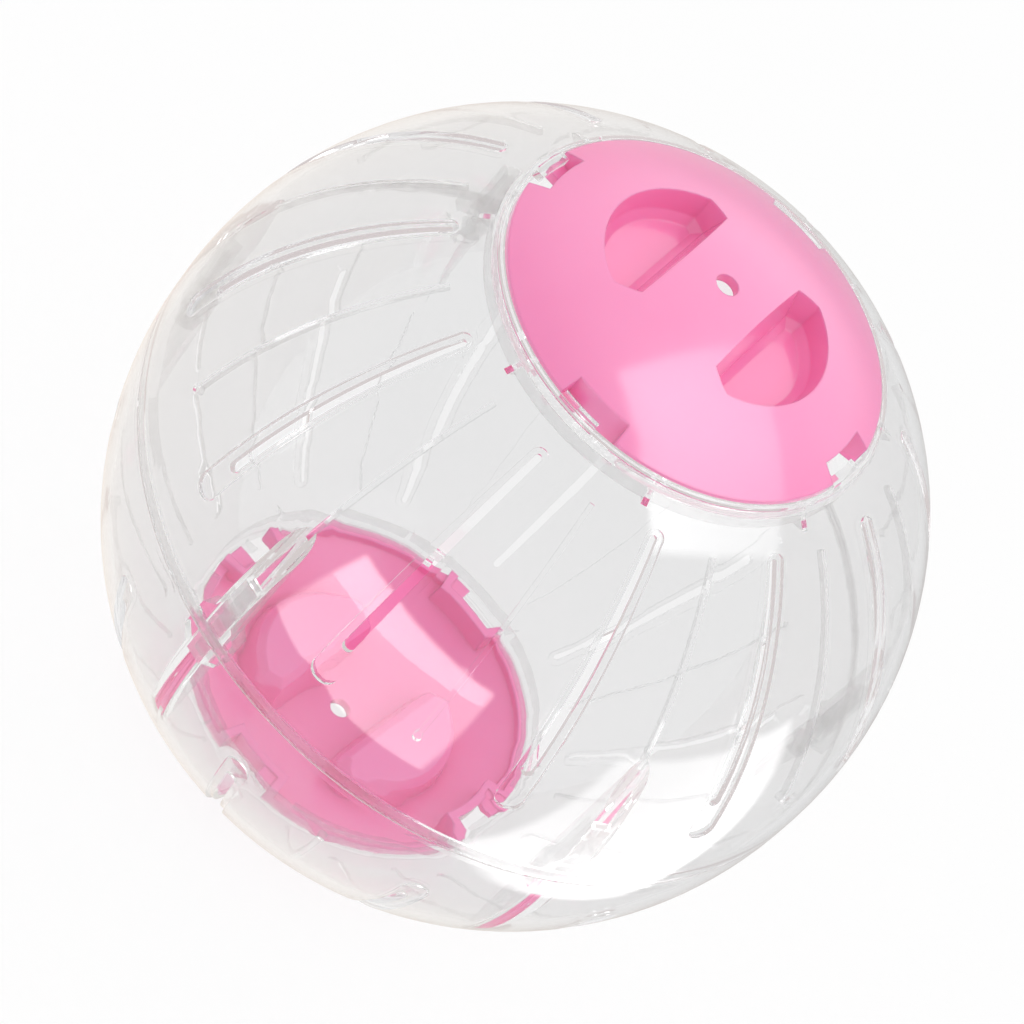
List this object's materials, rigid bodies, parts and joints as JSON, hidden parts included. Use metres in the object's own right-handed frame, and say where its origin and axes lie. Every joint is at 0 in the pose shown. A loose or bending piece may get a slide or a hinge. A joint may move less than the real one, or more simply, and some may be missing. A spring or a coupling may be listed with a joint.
{
  "type": "hamster ball",
  "caption": "Clear hamster exercise ball in two snap-together halves, with vent slots and a pink twist-off bayonet door with finger grips at each pole.",
  "frame": {"origin": "centre of the ball, midway between its poles, on the seam's plane", "axes": "+Z out through the middle of the front door, the one that faces the camera in the picture; the seam lies in the XY plane; +X runs out through a vent slot, and slots follow every 30 degrees"},
  "size_m": [0.12, 0.12, 0.1224],
  "materials": {
    "clear_plastic": "clear, polished",
    "pink_plastic": "opaque, glossy"
  },
  "bodies": {
    "rear_half": {"rear_shell": "clear_plastic"},
    "front_half": {"front_shell": "clear_plastic"},
    "rear_cover": {"rear_door": "pink_plastic"},
    "front_cover": {"front_door": "pink_plastic"}
  },
  "joints": [
    {"name": "halves_apart", "type": "slide", "parent": "rear_half", "child": "front_half", "axis": [0, 0, 1], "range_m": [0, 0.06]},
    {"name": "front_door_twist", "type": "hinge", "parent": "front_half", "child": "front_cover", "pos_m": [0, 0, 0], "axis": [0, 0, -1], "range_deg": [0, 5.8]},
    {"name": "rear_door_twist", "type": "hinge", "parent": "rear_half", "child": "rear_cover", "pos_m": [0, 0, 0], "axis": [0, 0, 1], "range_deg": [0, 5.8]}
  ]
}
